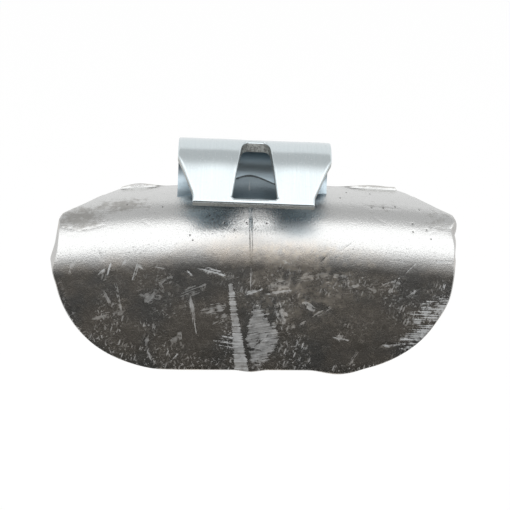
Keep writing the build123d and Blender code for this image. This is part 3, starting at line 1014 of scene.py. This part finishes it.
def ahead_fade(paint, nearest, farthest):
    """0 up to the nearest distance before the part, 1 past the farthest, straight between."""
    stage_place = paint.node("ShaderNodeTexCoord", {}, {}, "Object")
    ahead = 0.0 - paint.node("ShaderNodeSeparateXYZ", {}, {0: stage_place}, "Y")
    return paint.node("ShaderNodeMapRange", {}, {"Value": ahead, "From Min": nearest, "From Max": farthest})


floor_drop = 0.16
floor_half = 6.0
floor_grey = 0.85
floor_glow = 1.09
glow_share = 0.85
floor_paint, wire, surface = new_material("floor")
matt = wire.node("ShaderNodeBsdfDiffuse", {}, {"Color": grey(floor_grey)})
glow = wire.node("ShaderNodeEmission", {}, {"Color": grey(1.0), "Strength": floor_glow})
glow_part = glow_share * seen_directly(wire)
wire.node("ShaderNodeMixShader", {}, {0: glow_part, 1: matt, 2: glow}).into(surface)
floor_z = cad_low.z - floor_drop
flat_sheet("floor", level(floor_half, -floor_half, floor_half, floor_z), floor_paint)

card_half = 0.3
card_front, card_rear = -0.7, -0.02
card_drop = 0.02
card_dark = (0.05, 0.05, 0.047, 1.0)
card_pale = 0.8
card_fade = (0.03, 0.6)
card_paint, wire, surface = new_material("card")
shade = ahead_fade(wire, *card_fade).tint(card_dark, grey(card_pale))
inputs = {"Base Color": shade, "Roughness": 1.0, "Specular IOR Level": 0.0}
wire.node("ShaderNodeBsdfPrincipled", {}, inputs).into(surface)
card = flat_sheet("card", level(card_half, card_front, card_rear, cad_low.z - card_drop), card_paint)
card.visible_camera = False
card.visible_shadow = False

ceiling_half = 1.6
ceiling_front, ceiling_rear = -0.5, 0.55
ceiling_z = 1.3
ceiling_grey = 0.64
ceiling_brim = 1.25
ceiling_fade = (0.3, 0.52)
ceiling_paint, wire, surface = new_material("ceiling")
shade = ahead_fade(wire, *ceiling_fade).tint(grey(ceiling_grey), grey(ceiling_brim))
unlit = {"Base Color": grey(0.0), "Specular IOR Level": 0.0}
inputs = {**unlit, "Emission Color": shade, "Emission Strength": 1.0}
wire.node("ShaderNodeBsdfPrincipled", {}, inputs).into(surface)
ceiling = flat_sheet("ceiling", level(ceiling_half, ceiling_front, ceiling_rear, ceiling_z), ceiling_paint)

wall_half = 3.0
wall_y = -1.6
wall_top = 4.0
wall_grey = 0.35
wall_paint, wire, surface = new_material("front_wall")
wire.node("ShaderNodeEmission", {}, {"Color": grey(wall_grey), "Strength": 1.0}).into(surface)
wall_ends = [(-wall_half, floor_z), (wall_half, floor_z), (wall_half, wall_top), (-wall_half, wall_top)]
wall = flat_sheet("front_wall", [(x, wall_y, z) for x, z in wall_ends], wall_paint)
for mirrored in (ceiling, wall):
    mirrored.visible_camera = False
    mirrored.visible_diffuse = False
    mirrored.visible_shadow = False

lamp_distance = 1.0
lamp_width = 2.8
lamp_radiance = 0.65
for name, lowest, highest in (("front_softbox", 4.0, 68.0), ("front_inner", 17.0, 68.0)):
    lamp_rise = radians((lowest + highest) / 2)
    lamp_half = radians((highest - lowest) / 2)
    lamp_data = bpy.data.lights.new(name, "AREA")
    lamp_data.shape = "RECTANGLE"
    lamp_data.size = lamp_width
    lamp_data.size_y = 2 * lamp_distance * tan(lamp_half)
    lamp_data.energy = lamp_radiance * pi * lamp_data.size * lamp_data.size_y
    lamp = bpy.data.objects.new(name, lamp_data)
    bpy.context.scene.collection.objects.link(lamp)
    lamp_from = Vector((0.0, -cos(lamp_rise), sin(lamp_rise)))
    lamp.location = lamp_from * lamp_distance
    lamp.rotation_euler = lamp_from.to_track_quat("Z", "Y").to_euler()

room_light = 0.4
room_seen = 1.0
room = bpy.data.worlds.new("room")
bpy.context.scene.world = room
room.use_nodes = True
room.node_tree.nodes.clear()
wire = Wire(room.node_tree)
room_strength = room_light + (room_seen - room_light) * seen_directly(wire)
glow = wire.node("ShaderNodeBackground", {}, {"Color": grey(1.0), "Strength": room_strength})
room_output = room.node_tree.nodes.new("ShaderNodeOutputWorld")
glow.into(room_output.inputs["Surface"])


# Camera: before the part and about 22 degrees above it, as the photograph was taken. It is turned and
# rolled by under a degree, and its picture is shifted so that the part lies where the photograph has it.

image_side = 510
focal_px = 1905.0
sensor = 36.0
camera_turn = radians(-0.87)
camera_rise = radians(22.5)
camera_roll = radians(0.65)
camera_distance = 332 * MM
target = Vector((0.0, 0.0, -12 * MM))
target_px = Vector((252.6, 245.3))
level_reach = cos(camera_rise)
to_camera = Vector((sin(camera_turn) * level_reach, -cos(camera_turn) * level_reach, sin(camera_rise)))
camera_data = bpy.data.cameras.new("camera")
camera_data.sensor_width = sensor
camera_data.lens = focal_px / image_side * sensor
off_x = target_px.x - image_side / 2
off_y = target_px.y - image_side / 2
camera_data.shift_x = -(off_x * cos(camera_roll) + off_y * sin(camera_roll)) / image_side
camera_data.shift_y = (-off_x * sin(camera_roll) + off_y * cos(camera_roll)) / image_side
camera_data.clip_start = 0.01
camera_data.clip_end = 100.0
camera = bpy.data.objects.new("camera", camera_data)
bpy.context.scene.collection.objects.link(camera)
camera.location = target + to_camera * camera_distance
camera.rotation_mode = "QUATERNION"
look = (-to_camera).to_track_quat("-Z", "Y").to_matrix()
camera.rotation_quaternion = (look @ Matrix.Rotation(camera_roll, 3, "Z")).to_quaternion()
bpy.context.scene.camera = camera
bpy.context.scene.view_settings.view_transform = "Standard"
